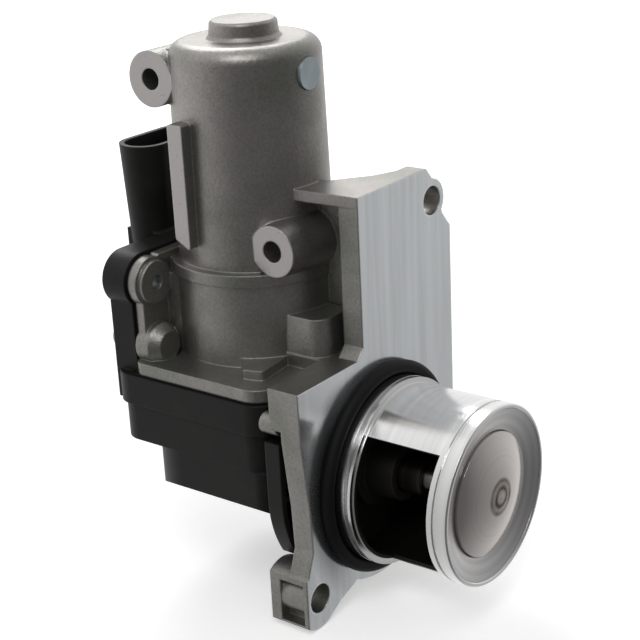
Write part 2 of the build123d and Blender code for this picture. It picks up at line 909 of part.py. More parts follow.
# Motor shaft, its pinion and the armature
with BuildPart() as motor_shaft:
    with BuildSketch(level(wheel_low - mesh_over, motor)):
        Circle(shaft_r)
    extrude(amount=shaft_top - wheel_low + mesh_over)
save(motor_shaft, "motor_shaft")

with BuildPart() as motor_pinion:
    with BuildSketch(level(wheel_low - mesh_over, motor)):
        with BuildLine():
            Polyline(*gear_outline(module_1, pinion_teeth, motor_to_idler), close=True)
        make_face()
        Circle(shaft_r + fit, mode=Mode.SUBTRACT)
    extrude(amount=wheel_t + 2 * mesh_over)
save(motor_pinion, "motor_pinion")

with BuildPart() as armature_core:
    with BuildSketch(level(core_low, motor)):
        Circle(core_r)
        Circle(shaft_r + fit, mode=Mode.SUBTRACT)
        with PolarLocations(core_r - slot_deep / 2 + 0.5, slot_count):
            Rectangle(slot_deep + 1.0, slot_w, mode=Mode.SUBTRACT)
    extrude(amount=core_top - core_low)
save(armature_core, "armature_core")

with BuildPart() as armature_windings:
    with BuildSketch(level(core_low - winding_over, motor)):
        with PolarLocations(core_r - slot_deep / 2 - 0.3, slot_count):
            Rectangle(slot_deep - 1.0, slot_w - 0.4)
    extrude(amount=core_top - core_low + 2 * winding_over)
    for z in (core_low - winding_over, core_top + fit):
        with BuildSketch(level(z, motor)):
            Circle(core_r - 1.0)
            Circle(core_r - slot_deep - 1.5, mode=Mode.SUBTRACT)
        extrude(amount=winding_over - fit)
save(armature_windings, "armature_windings")

with BuildPart() as commutator:
    with BuildSketch(front(motor_y)):
        with BuildLine():
            Polyline(
                (shaft_r + fit, commutator_low),
                (commutator_r, commutator_low),
                (commutator_r, commutator_top),
                (commutator_r + 1.2, commutator_top),
                (commutator_r + 1.2, commutator_top + 1.5),
                (shaft_r + fit, commutator_top + 1.5),
                close=True,
            )
        make_face()
    revolve(axis=motor_axis)
save(commutator, "commutator")

# Can, magnets, bearings, brushes and their holder
with BuildPart() as motor_can:
    with BuildSketch(front(motor_y)):
        with BuildLine():
            Polyline(
                (can_r - can_wall, can_low),
                (can_r, can_low),
                (can_r, can_top - 1.5),
                (can_r - 1.5, can_top),
                (bearing_r + 0.3, can_top),
                (bearing_r + 0.3, can_top - can_wall),
                (can_r - can_wall, can_top - can_wall),
                close=True,
            )
        make_face()
    revolve(axis=motor_axis)
save(motor_can, "motor_can")

for name, way in (("left", -1), ("right", 1)):
    with BuildPart() as motor_magnet:
        with BuildSketch(level(core_low - 2.0, motor)):
            Circle(magnet_ring_r)
            Circle(magnet_ring_r - magnet_t, mode=Mode.SUBTRACT)
            with BuildLine():
                Polyline(
                    (0, 0),
                    (way * can_r, can_r * tan(radians(magnet_half_deg))),
                    (way * can_r, -can_r * tan(radians(magnet_half_deg))),
                    close=True,
                )
            make_face(mode=Mode.INTERSECT)
        extrude(amount=core_top - core_low + 4.0)
    save(motor_magnet, "motor_magnet_" + name)

for name, z in (("upper", bore_top), ("lower", lower_bearing_z)):
    with BuildPart() as bearing:
        with BuildSketch(level(z, motor)):
            Circle(bearing_r)
            Circle(shaft_r + run_fit, mode=Mode.SUBTRACT)
        extrude(amount=bearing_t)
    save(bearing, name + "_bearing")

with BuildPart() as brush_holder:
    with BuildSketch(level(holder_low, motor)):
        Circle(can_r - 0.2)
    extrude(amount=holder_t)
    with BuildSketch(level(holder_low, motor)):
        Circle(can_r - 0.2)
        Circle(can_r - cover_wall, mode=Mode.SUBTRACT)
    extrude(amount=can_low - holder_low - fit)
    with BuildSketch(level(holder_low, motor)):
        with PolarLocations(brush_mid_r, 2):
            Rectangle(brush_len, brush_w + 3.0)
    extrude(amount=commutator_top - 1.5 - holder_low)
    with BuildSketch(level(brush_low - fit, motor)):
        with PolarLocations(brush_mid_r, 2):
            Rectangle(brush_len + 4.0, brush_w + 2 * fit)
    extrude(amount=brush_t + 2 * fit, mode=Mode.SUBTRACT)
    with BuildSketch(level(holder_low, motor)):
        Circle(commutator_r + 0.3)
    extrude(amount=can_low - holder_low, mode=Mode.SUBTRACT)
save(brush_holder, "brush_holder")

for name, way in (("left", -1), ("right", 1)):
    with BuildPart() as brush:
        with BuildSketch(level(brush_low, (way * brush_mid_r, motor_y))):
            Rectangle(brush_len - 0.2, brush_w)
            with Locations((-way * brush_mid_r, 0)):
                Circle(commutator_r + run_fit, mode=Mode.SUBTRACT)
        extrude(amount=brush_t)
    save(brush, "brush_" + name)

# Gear plate under the motor, its screws and the two fixed pins
with BuildPart() as gear_plate:
    with BuildSketch(level(gear_plate_low, motor)):
        Circle(gear_plate_r)
        with Locations((0, rear_face - motor_y + gear_plate_r - seat_gap)):
            Rectangle(2 * gear_plate_r, 2 * gear_plate_r, mode=Mode.SUBTRACT)
    extrude(amount=gear_plate_t)
    with BuildSketch(level(gear_plate_low, motor)):
        Circle(bearing_r + boss_wall)
    extrude(amount=lower_bearing_z + bearing_t - gear_plate_low)
    with BuildSketch(level(gear_plate_low - 1.0)):
        with Locations(motor):
            Circle(shaft_r + 1.0)
        with Locations(idler):
            Circle(idler_pin_r + fit)
        with Locations(output):
            Circle(output_pin_r + fit)
        with Locations(*plate_screws):
            Circle(plate_screw_r + fit)
    extrude(amount=bearing_t + gear_plate_t, mode=Mode.SUBTRACT)
    with BuildSketch(level(lower_bearing_z - fit, motor)):
        Circle(bearing_r + fit)
    extrude(amount=bearing_t + 1.0, mode=Mode.SUBTRACT)
save(gear_plate, "gear_plate")

for number, place in enumerate(plate_screws, start=1):
    with BuildPart() as plate_screw:
        with BuildSketch(level(gear_plate_low - fit, place)):
            Circle(plate_head_r)
        extrude(amount=-plate_head_t)
        with BuildSketch(level(gear_plate_low - fit, place)):
            Circle(plate_screw_r)
        extrude(amount=gear_plate_t + plate_screw_grip)
    save(plate_screw, "plate_screw_" + str(number))

pin_top = gear_plate_low + gear_plate_t
with BuildPart() as idler_pin:
    with BuildSketch(level(idler_pin_low, idler)):
        Circle(idler_pin_r)
    extrude(amount=pin_top - idler_pin_low)
save(idler_pin, "idler_pin")

with BuildPart() as output_pin:
    with BuildSketch(level(output_low + 0.4, output)):
        Circle(output_pin_r)
    extrude(amount=pin_top - output_low - 0.4)
save(output_pin, "output_pin")

# Idler: a moulded wheel on a steel pinion
neck_hub_r = idler_hub_r - 0.8
with BuildPart() as idler_pinion:
    with BuildSketch(level(idler_low, idler)):
        with BuildLine():
            Polyline(*gear_outline(module_2, small_teeth, idler_to_output), close=True)
        make_face()
    extrude(amount=wheel_low - fit - idler_low)
    with BuildSketch(level(wheel_low - 1.0, idler)):
        Circle(neck_hub_r)
    extrude(amount=gear_plate_low - seat_gap - wheel_low + 1.0)
    with BuildSketch(level(idler_low, idler)):
        Circle(idler_pin_r + run_fit)
    extrude(amount=gear_plate_low - idler_low, mode=Mode.SUBTRACT)
save(idler_pinion, "idler_pinion")

wheel_turn = motor_to_idler + 180.0 + 180.0 / wheel_teeth
with BuildPart() as idler_wheel:
    with BuildSketch(level(wheel_low, idler)):
        with BuildLine():
            Polyline(*gear_outline(module_1, wheel_teeth, wheel_turn), close=True)
        make_face()
        Circle(neck_hub_r + fit, mode=Mode.SUBTRACT)
    extrude(amount=wheel_t)
    with BuildSketch(level(wheel_low + wheel_t, idler)):
        Circle(wheel_root_r - rim_t)
        Circle(idler_hub_r + 1.4, mode=Mode.SUBTRACT)
    extrude(amount=-web_drop, mode=Mode.SUBTRACT)
save(idler_wheel, "idler_wheel")

# Output: a toothed sector moulded on a steel crank
tooth_deg = 360.0 / sector_teeth
sector_first = -round((2 * crank_half_deg + sector_margin_deg) / tooth_deg)
sector_count = round(sector_margin_deg / tooth_deg) - sector_first + 1
sector_turn = idler_to_output + 180.0 + tooth_deg / 2
sector_points = gear_outline(module_2, sector_teeth, sector_turn, sector_first, sector_count)
with BuildPart() as sector_gear:
    with BuildSketch(level(sector_low, output)):
        with BuildLine():
            Polyline((0, 0), *sector_points, close=True)
        make_face()
        Circle(hub_r + 2.2)
        Circle(hub_r + fit, mode=Mode.SUBTRACT)
    extrude(amount=sector_t)
save(sector_gear, "sector_gear")

crank_top = wheel_low - mesh_over - 0.2
crank_rest = (crank_rest_x, crank_rest_y)
with BuildPart() as output_crank:
    with BuildSketch(level(crank_bottom, output)):
        Circle(hub_r)
    extrude(amount=crank_top - crank_bottom)
    with BuildSketch(level(crank_bottom)):
        with Locations(output, crank_rest):
            Circle(crank_eye_r)
        make_hull()
    extrude(amount=crank_arm_t)
    with BuildSketch(level(crank_bottom, crank_rest)):
        Circle(crank_pin_r)
    extrude(amount=crank_pin_low - crank_bottom)
    with BuildSketch(level(output_low, output)):
        Circle(output_pin_r + run_fit)
    extrude(amount=wheel_low, mode=Mode.SUBTRACT)
save(output_crank, "output_crank")

with BuildPart() as crank_roller:
    with BuildSketch(level(-roller_h / 2, crank_rest)):
        Circle(roller_r)
        Circle(crank_pin_r + fit, mode=Mode.SUBTRACT)
    extrude(amount=roller_h)
save(crank_roller, "crank_roller")

# Room inside the gear cover
room_low = floor_z + cover_wall
low_left = cover_left + low_inset
low_right = cover_right - low_inset
belly_slope = (floor_z - side_low_z) / (belly_x - low_left)
belly_drop = cover_wall * sqrt(1 + belly_slope ** 2)
with BuildPart() as cover_room:
    with BuildSketch(level(tier_2_low + cover_wall)):
        with BuildLine():
            FilletPolyline(
                (cover_left + tier_step + cover_wall, cover_front + tier_step + cover_wall),
                (cover_right - tier_step - cover_wall, cover_front + tier_step + cover_wall),
                (cover_right - tier_step - cover_wall, cover_rear - tier_step - cover_wall),
                (cover_left + tier_step + cover_wall, cover_rear - tier_step - cover_wall),
                radius=tier_corner - cover_wall,
                close=True,
            )
        make_face()
    extrude(amount=seam_z - tier_2_low - cover_wall)
    with BuildSketch(level(room_low)):
        with BuildLine():
            FilletPolyline(
                (low_left + cover_wall, low_front + cover_wall),
                (low_right - cover_wall, low_front + cover_wall),
                (low_right - cover_wall, low_rear - cover_wall),
                (low_left + cover_wall, low_rear - cover_wall),
                radius=(3.0, 3.0, low_corner - cover_wall, low_corner - cover_wall),
                close=True,
            )
        make_face()
    extrude(amount=tier_2_low + cover_wall - room_low)
    with BuildSketch(front(low_rear)):
        with BuildLine():
            Polyline(
                (low_left, side_low_z + belly_drop),
                (belly_x + 10.0, floor_z + belly_drop + 10.0 * belly_slope),
                (low_left, floor_z - 10.0),
                close=True,
            )
        make_face()
        with BuildLine():
            Polyline(
                (low_right, floor_z + belly_right + cover_wall * (sqrt(2) - 1) + 1.0),
                (low_right, floor_z),
                (low_right - belly_right - cover_wall * (sqrt(2) - 1) - 1.0, floor_z),
                close=True,
            )
        make_face()
    extrude(amount=low_rear - low_front, mode=Mode.SUBTRACT)
    with BuildSketch(front(pocket_rear)):
        with BuildLine():
            Polyline(
                (pocket_left, seam_z - 1.0),
                (pocket_right, seam_z - 1.0),
                (pocket_right, ring_top + 0.5),
                (pocket_left, ring_top + 0.5),
                close=True,
            )
        make_face()
    extrude(amount=pocket_rear - riser_front + 1.0)

# Gear cover with the socket of the connector
with BuildPart() as gear_cover:
    with BuildSketch(level(tier_1_low)):
        with BuildLine():
            FilletPolyline(
                (cover_left, cover_front),
                (cover_right, cover_front),
                (cover_right, cover_rear),
                (cover_left, cover_rear),
                radius=tier_corner,
                close=True,
            )
        make_face()
    extrude(amount=seam_z - tier_1_low)
    with BuildSketch(level(tier_2_low)):
        with BuildLine():
            FilletPolyline(
                (cover_left + tier_step, cover_front + tier_step),
                (cover_right - tier_step, cover_front + tier_step),
                (cover_right - tier_step, cover_rear - tier_step),
                (cover_left + tier_step, cover_rear - tier_step),
                radius=tier_corner,
                close=True,
            )
        make_face()
    extrude(amount=tier_1_low - tier_2_low)
    with BuildSketch(level(floor_z)):
        with BuildLine():
            FilletPolyline(
                (low_left, low_front),
                (low_right, low_front),
                (low_right, low_rear),
                (low_left, low_rear),
                radius=(5.0, 5.0, low_corner, low_corner),
                close=True,
            )
        make_face()
    extrude(amount=tier_2_low - floor_z)
    with BuildSketch(front(low_rear)):
        with BuildLine():
            Polyline(
                (low_left - 1.0, side_low_z - belly_slope),
                (belly_x + 1.0, floor_z + belly_slope),
                (low_left - 1.0, floor_z + belly_slope),
                close=True,
            )
        make_face()
        with BuildLine():
            Polyline(
                (low_right + 1.0, floor_z + belly_right + 1.0),
                (low_right + 1.0, floor_z - 1.0),
                (low_right - belly_right - 1.0, floor_z - 1.0),
                close=True,
            )
        make_face()
    extrude(amount=low_rear - low_front, mode=Mode.SUBTRACT)
    # Front skirt round the nose, clear of the lower lug
    with BuildSketch(front(neck_end + seat_gap)):
        Circle(front_skirt_r)
        with BuildLine():
            Polyline(
                (-front_skirt_r, 0),
                (-front_skirt_r, front_skirt_top),
                (0, front_skirt_top),
                (0, 0),
                close=True,
            )
        make_face()
        with Locations((0, front_skirt_top + front_skirt_r)):
            Rectangle(3 * front_skirt_r, 2 * front_skirt_r, mode=Mode.SUBTRACT)
        with Locations(lobe):
            Circle(lower_lug_r + 0.8, mode=Mode.SUBTRACT)
    extrude(amount=-front_skirt_t)
    # Rear riser with the two upper screw lugs
    with BuildSketch(front(cover_rear)):
        with BuildLine():
            Polyline(
                (riser_left, tier_1_low),
                (riser_right, tier_1_low),
                (riser_right, screw_z[1]),
                (screw_x[1], riser_top),
                (screw_x[0], riser_top),
                (riser_left, screw_z[1]),
                close=True,
            )
        make_face()
        for x in screw_x:
            with Locations((x, screw_z[1])):
                Circle(riser_lug_r)
    extrude(amount=cover_rear - riser_front)
    # Gusset and shroud of the connector
    with BuildSketch(side(socket_x - gusset_half)):
        with BuildLine():
            Polyline(
                (cover_rear - 1.5, gusset_low),
                (cover_rear - 1.5, socket_floor),
                (gusset_out, socket_floor),
                (gusset_out, socket_low - 2.0),
                close=True,
            )
        make_face()
    extrude(amount=2 * gusset_half)
    with BuildSketch(level(socket_top, socket)):
        SlotCenterToCenter(2 * socket_half, 2 * socket_r)
    extrude(amount=-(socket_top - socket_low), taper=socket_draft)
    add(cover_room.part, mode=Mode.SUBTRACT)
    with BuildSketch(level(socket_top, socket)):
        SlotCenterToCenter(2 * socket_half, 2 * (socket_r - socket_wall))
    extrude(amount=-(socket_top - socket_floor), taper=socket_draft, mode=Mode.SUBTRACT)
    # Room for the barrel's back, the nose, the stub and the screws
    with BuildSketch(level(seam_z, motor)):
        Circle(ring_r + seat_gap)
    extrude(amount=ring_top + seat_gap - seam_z, mode=Mode.SUBTRACT)
    with BuildSketch(level(seam_z, motor)):
        Circle(motor_base_r + seat_gap)
    extrude(amount=riser_top, mode=Mode.SUBTRACT)
    with BuildSketch(front(neck_end)):
        Circle(spring_pocket_r + pocket_wall + seat_gap)
    extrude(amount=-(nose_end + seat_gap - neck_end), mode=Mode.SUBTRACT)
    with BuildSketch(front(neck_end)):
        Circle(spring_pocket_r)
    extrude(amount=-(low_front + cover_wall + 1.0 - neck_end), mode=Mode.SUBTRACT)
    with BuildSketch(front(neck_end)):
        with Locations((stub_x, stub_z)):
            Circle(stub_r + seat_gap)
    extrude(amount=-(stub_len + seat_gap), mode=Mode.SUBTRACT)
    with BuildSketch(front(cover_rear)):
        for x in screw_x:
            for z in screw_z:
                with Locations((x, z)):
                    Circle(cover_screw_r + fit)
    extrude(amount=cover_rear - riser_front, mode=Mode.SUBTRACT)
    # Cored face of the skirt with radial ribs
    with BuildSketch(front(neck_end)):
        Circle(front_skirt_r - cover_wall)
        Circle(spring_pocket_r + pocket_wall + seat_gap + cover_wall, mode=Mode.SUBTRACT)
        with Locations((0, front_skirt_top + front_skirt_r - cover_wall)):
            Rectangle(3 * front_skirt_r, 2 * front_skirt_r, mode=Mode.SUBTRACT)
        with Locations(lobe):
            Circle(lower_lug_r + 0.8 + cover_wall, mode=Mode.SUBTRACT)
        with PolarLocations(front_skirt_r / 2, rib_count):
            Rectangle(front_skirt_r, 1.6, mode=Mode.SUBTRACT)
    extrude(amount=-(seat_gap + front_skirt_t - cover_wall - 0.4), mode=Mode.SUBTRACT)
    # Boss of the idler's pin and the slots of the terminals
    with BuildSketch(level(room_low - 0.5, idler)):
        Circle(idler_pin_r + boss_wall)
    extrude(amount=idler_boss_top - room_low + 0.5)
    with BuildSketch(level(idler_pin_low - fit, idler)):
        Circle(idler_pin_r + fit)
    extrude(amount=idler_boss_top, mode=Mode.SUBTRACT)
    for x in terminal_x:
        with BuildSketch(side(x - terminal_w / 2 - fit)):
            with BuildLine():
                Polyline(*terminal_path, close=True)
            make_face()
            offset(amount=fit, kind=Kind.INTERSECTION)
        extrude(amount=terminal_w + 2 * fit, mode=Mode.SUBTRACT)
save(gear_cover, "gear_cover")

# Gasket between the cover and the housing, along the rim and up the riser
with BuildPart() as cover_seal:
    with BuildSketch(level(seam_z)):
        with BuildLine():
            FilletPolyline(
                (cover_left + base_inset, cover_front + base_inset),
                (cover_right - base_inset, cover_front + base_inset),
                (cover_right - base_inset, riser_front),
                (cover_left + base_inset, riser_front),
                radius=(tier_corner, tier_corner, 0.5, 0.5),
                close=True,
            )
        make_face()
        with BuildLine():
            FilletPolyline(
                (cover_left + tier_step + cover_wall, cover_front + tier_step + cover_wall),
                (cover_right - tier_step - cover_wall, cover_front + tier_step + cover_wall),
                (cover_right - tier_step - cover_wall, cover_rear),
                (cover_left + tier_step + cover_wall, cover_rear),
                radius=tier_corner - cover_wall,
                close=True,
            )
        make_face(mode=Mode.SUBTRACT)
    extrude(amount=seal_t)
    with BuildSketch(front(riser_front)):
        with BuildLine():
            Polyline(
                (cover_left + base_inset, seam_z + seal_t),
                (cover_left + base_inset, seam_z),
                (cover_right - base_inset, seam_z),
                (cover_right - base_inset, seam_z + seal_t),
                (riser_right - base_inset, seam_z + seal_t),
                (riser_right - base_inset, screw_z[1]),
                (screw_x[1], riser_top - base_inset),
                (screw_x[0], riser_top - base_inset),
                (riser_left + base_inset, screw_z[1]),
                (riser_left + base_inset, seam_z + seal_t),
                close=True,
            )
        make_face()
        for x in screw_x:
            with Locations((x, screw_z[1])):
                Circle(riser_lug_r - base_inset)
        with BuildLine():
            Polyline(
                (pocket_left, seam_z - 1.0),
                (pocket_right, seam_z - 1.0),
                (pocket_right, ring_top + 0.5),
                (pocket_left, ring_top + 0.5),
                close=True,
            )
        make_face(mode=Mode.SUBTRACT)
        for x in screw_x:
            for z in screw_z:
                with Locations((x, z)):
                    Circle(cover_screw_r + fit, mode=Mode.SUBTRACT)
    extrude(amount=seal_t)
    with BuildSketch(level(seam_z, motor)):
        Circle(motor_base_r + seat_gap)
    extrude(amount=riser_top, mode=Mode.SUBTRACT)
save(cover_seal, "cover_seal")

# Screws of the cover; the one in the open lug is shorter, so the hole shows
screw_number = 0
for x in screw_x:
    for z in screw_z:
        screw_number += 1
        open_lug = x == screw_x[0] and z == screw_z[1]
        shank_end = rear_face - alu_lug_len + (1.6 if open_lug else 0.4)
        with BuildPart() as cover_screw:
            with BuildSketch(front(cover_rear + fit)):
                with Locations((x, z)):
                    Circle(cover_screw_r)
            extrude(amount=cover_rear + fit - shank_end)
            with BuildSketch(front(cover_rear + fit)):
                with Locations((x, z)):
                    Circle(screw_head_r)
                    RegularPolygon(screw_head_r - 1.2, 6, mode=Mode.SUBTRACT)
            extrude(amount=-screw_head_t)
            with BuildSketch(front(cover_rear + fit)):
                with Locations((x, z)):
                    Circle(screw_head_r - 0.6)
            extrude(amount=-screw_head_t / 3)
        save(cover_screw, "cover_screw_" + str(screw_number))

for number, x in enumerate(terminal_x, start=1):
    with BuildPart() as terminal:
        with BuildSketch(side(x - terminal_w / 2)):
            with BuildLine():
                Polyline(*terminal_path, close=True)
            make_face()
        extrude(amount=terminal_w)
    save(terminal, "terminal_" + str(number))

# Plug of the cored hole near the top of the barrel
with BuildPart() as core_plug:
    with BuildSketch(front(plug_y - fit)):
        with Locations((plug_x, plug_z)):
            Circle(plug_r)
    extrude(amount=plug_t)
    with BuildSketch(front(plug_y - fit)):
        with Locations((plug_x, plug_z)):
            Circle(plug_r - 0.8)
    extrude(amount=-plug_shank)
save(core_plug, "core_plug")

# Position sensor on the floor of the cover, under the yoke's magnet
with BuildPart() as sensor_board:
    with BuildSketch(level(room_low + fit, (0, board_y))):
        Rectangle(board_w, board_len)
    extrude(amount=board_t)
save(sensor_board, "sensor_board")

with BuildPart() as sensor_chip:
    with BuildSketch(level(room_low + board_t + 2 * fit, (0, board_y - board_len / 2 + chip_len))):
        Rectangle(chip_w, chip_len)
    extrude(amount=chip_t)
save(sensor_chip, "sensor_chip")
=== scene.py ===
from math import cos, radians, sin

import bpy
import numpy as np
from mathutils import Matrix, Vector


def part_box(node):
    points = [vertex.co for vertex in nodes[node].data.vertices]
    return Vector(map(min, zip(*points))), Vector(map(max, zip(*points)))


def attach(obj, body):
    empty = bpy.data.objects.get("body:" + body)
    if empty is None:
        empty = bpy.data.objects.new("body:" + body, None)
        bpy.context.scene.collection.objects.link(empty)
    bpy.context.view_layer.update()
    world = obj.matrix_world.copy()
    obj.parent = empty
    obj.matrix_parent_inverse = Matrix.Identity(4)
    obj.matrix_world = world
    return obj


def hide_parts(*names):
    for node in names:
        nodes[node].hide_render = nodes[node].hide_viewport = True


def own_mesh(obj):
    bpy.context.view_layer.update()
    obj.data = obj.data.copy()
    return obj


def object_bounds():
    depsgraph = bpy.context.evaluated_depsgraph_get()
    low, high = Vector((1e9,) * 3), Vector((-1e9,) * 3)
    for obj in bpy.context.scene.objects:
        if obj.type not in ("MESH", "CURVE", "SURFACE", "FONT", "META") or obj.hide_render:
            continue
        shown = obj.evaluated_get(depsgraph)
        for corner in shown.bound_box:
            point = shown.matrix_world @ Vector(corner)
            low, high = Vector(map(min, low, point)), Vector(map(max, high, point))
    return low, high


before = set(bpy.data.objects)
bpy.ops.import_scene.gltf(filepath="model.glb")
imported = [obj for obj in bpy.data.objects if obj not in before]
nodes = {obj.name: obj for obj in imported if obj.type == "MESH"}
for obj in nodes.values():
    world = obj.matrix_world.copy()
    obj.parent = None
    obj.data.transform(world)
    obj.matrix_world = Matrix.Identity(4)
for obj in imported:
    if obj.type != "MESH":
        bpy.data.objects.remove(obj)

# EGR valve on a pale floor. The valve tube lies along -Y, the motor stands along +Z.
# Lengths are in metres, angles in degrees, texture scales in cells per metre.
# A ramp is a row of (place, grey) stops.

loadedBox = [list(corner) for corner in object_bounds()]


def addNode(tree, kind, values=None, **settings):
    # a node with its settings and the fixed values of its inputs
    node = tree.nodes.new(kind)
    for name, value in settings.items():
        setattr(node, name, value)
    for name, value in (values or {}).items():
        node.inputs[name].default_value = value
    return node


def join(tree, *pairs):
    # each pair is an output socket and the input socket that it feeds
    for source, target in pairs:
        tree.links.new(source, target)


def newGroup(name, inputs, outputs):
    # a node group of float inputs and outputs
    group = bpy.data.node_groups.new(name, "ShaderNodeTree")
    for way, labels in (("INPUT", inputs), ("OUTPUT", outputs)):
        for label in labels:
            group.interface.new_socket(label, in_out=way, socket_type="NodeSocketFloat")
    return group, addNode(group, "NodeGroupInput"), addNode(group, "NodeGroupOutput")


def ramp(tree, source, stops):
    # a grey between the stops
    node = addNode(tree, "ShaderNodeValToRGB")
    elements = node.color_ramp.elements
    while len(elements) < len(stops):
        elements.new(0.5)
    for element, (place, grey) in zip(elements, stops):
        element.position = place
        element.color = (grey, grey, grey, 1)
    join(tree, (source, node.inputs["Fac"]))
    return node.outputs["Color"]


def mixColour(tree, factor, first, second, blend="MIX"):
    # colours or sockets mixed by a socket or a number
    node = addNode(tree, "ShaderNodeMix", data_type="RGBA", blend_type=blend)
    for socket, value in ((node.inputs[0], factor), (node.inputs[6], first), (node.inputs[7], second)):
        if isinstance(value, bpy.types.NodeSocket):
            join(tree, (value, socket))
        else:
            socket.default_value = (*value, 1) if isinstance(value, tuple) else value
    return node.outputs[2]


def tinted(tree, colour, tint):
    # a colour times a grey
    return mixColour(tree, 1.0, colour, tint, "MULTIPLY")


def mathNode(tree, operation, first, second=0.0):
    # one sum on sockets or numbers
    node = addNode(tree, "ShaderNodeMath", operation=operation)
    for socket, value in zip(node.inputs, (first, second)):
        if isinstance(value, bpy.types.NodeSocket):
            join(tree, (value, socket))
        else:
            socket.default_value = value
    return node.outputs[0]


def raised(tree, base, source, step):
    # base + step * source
    return mathNode(tree, "ADD", base, mathNode(tree, "MULTIPLY", source, step))


def whereabouts(tree):
    # the place on the object, its parts X Y Z, the parts of the normal, and the distance from the valve's axis
    place = addNode(tree, "ShaderNodeTexCoord")
    parts = addNode(tree, "ShaderNodeSeparateXYZ")
    facing = addNode(tree, "ShaderNodeSeparateXYZ")
    flat = addNode(tree, "ShaderNodeVectorMath", {1: (1, 0, 1)}, operation="MULTIPLY")
    length = addNode(tree, "ShaderNodeVectorMath", operation="LENGTH")
    join(
        tree,
        (place.outputs["Object"], parts.inputs[0]),
        (place.outputs["Normal"], facing.inputs[0]),
        (place.outputs["Object"], flat.inputs[0]),
        (flat.outputs[0], length.inputs[0]),
    )
    return place.outputs["Object"], parts.outputs, facing.outputs, length.outputs["Value"]


def makeCastSkin():
    # sand grain, small pits and wide blotches of a casting, all between 0 and 1
    values = {
        "grain": {"Detail": 5.0, "Roughness": 0.62}, "pitShare": 0.35,
        "blotch": {"Detail": 3.0, "Roughness": 0.55, "Distortion": 0.4},
    }
    group, start, end = newGroup("castSkin", ("Grain scale", "Blotch scale"), ("Grain", "Pits", "Blotch"))
    place = addNode(group, "ShaderNodeTexCoord")
    grain = addNode(group, "ShaderNodeTexNoise", values["grain"])
    pits = addNode(group, "ShaderNodeTexVoronoi")
    blotch = addNode(group, "ShaderNodeTexNoise", values["blotch"])
    pitScale = mathNode(group, "MULTIPLY", start.outputs["Grain scale"], values["pitShare"])
    for texture, scale, result, label in (
        (grain, start.outputs["Grain scale"], "Fac", "Grain"),
        (pits, pitScale, "Distance", "Pits"),
        (blotch, start.outputs["Blotch scale"], "Fac", "Blotch"),
    ):
        join(
            group,
            (place.outputs["Object"], texture.inputs["Vector"]),
            (scale, texture.inputs["Scale"]),
            (texture.outputs[result], end.inputs[label]),
        )
    return group


def makeTurnedSkin():
    # fine tool lines round the valve's axis: noise of Y along a tube, and of the radius on an end face
    values = {"noise": {"Detail": 2.0, "Roughness": 0.6}, "endFacing": 0.7}
    group, start, end = newGroup(
        "turnedSkin", ("Line scale", "Band scale"), ("Lines", "Bands", "Radius", "Depth")
    )
    _, parts, facing, radius = whereabouts(group)
    endFace = mathNode(group, "GREATER_THAN", mathNode(group, "ABSOLUTE", facing["Y"]), values["endFacing"])
    apart = mathNode(group, "SUBTRACT", radius, parts["Y"])
    along = mathNode(group, "ADD", parts["Y"], mathNode(group, "MULTIPLY", apart, endFace))
    for scale, label in (("Line scale", "Lines"), ("Band scale", "Bands")):
        noise = addNode(group, "ShaderNodeTexNoise", values["noise"], noise_dimensions="1D")
        join(
            group,
            (along, noise.inputs["W"]),
            (start.outputs[scale], noise.inputs["Scale"]),
            (noise.outputs["Fac"], end.inputs[label]),
        )
    join(group, (radius, end.inputs["Radius"]), (parts["Y"], end.inputs["Depth"]))
    return group


castSkin = makeCastSkin()
turnedSkin = makeTurnedSkin()


def newMaterial(name, metallic, roughness, **fixed):
    # a material with its Principled shader; fixed values go on the shader's own sockets
    material = bpy.data.materials.new(name)
    material.use_nodes = True
    tree = material.node_tree
    shader = tree.nodes["Principled BSDF"]
    shader.inputs["Metallic"].default_value = metallic
    shader.inputs["Roughness"].default_value = roughness
    for label, value in fixed.items():
        shader.inputs[label.replace("_", " ")].default_value = value
    return material, tree, shader


def useGroup(tree, group, **scales):
    # a skin group with its two scales
    node = addNode(tree, "ShaderNodeGroup", node_tree=group)
    for label, value in scales.items():
        node.inputs[label.replace("_", " ")].default_value = value
    return node.outputs


def addBump(tree, shader, height, depth, strength, edge):
    # bump from a height; edge is the radius that rounds sharp corners in the light
    bump = addNode(tree, "ShaderNodeBump", {"Strength": strength, "Distance": depth})
    join(tree, (height, bump.inputs["Height"]), (bump.outputs["Normal"], shader.inputs["Normal"]))
    if edge:
        corner = addNode(tree, "ShaderNodeBevel", {"Radius": edge}, samples=6)
        join(tree, (corner.outputs["Normal"], bump.inputs["Normal"]))


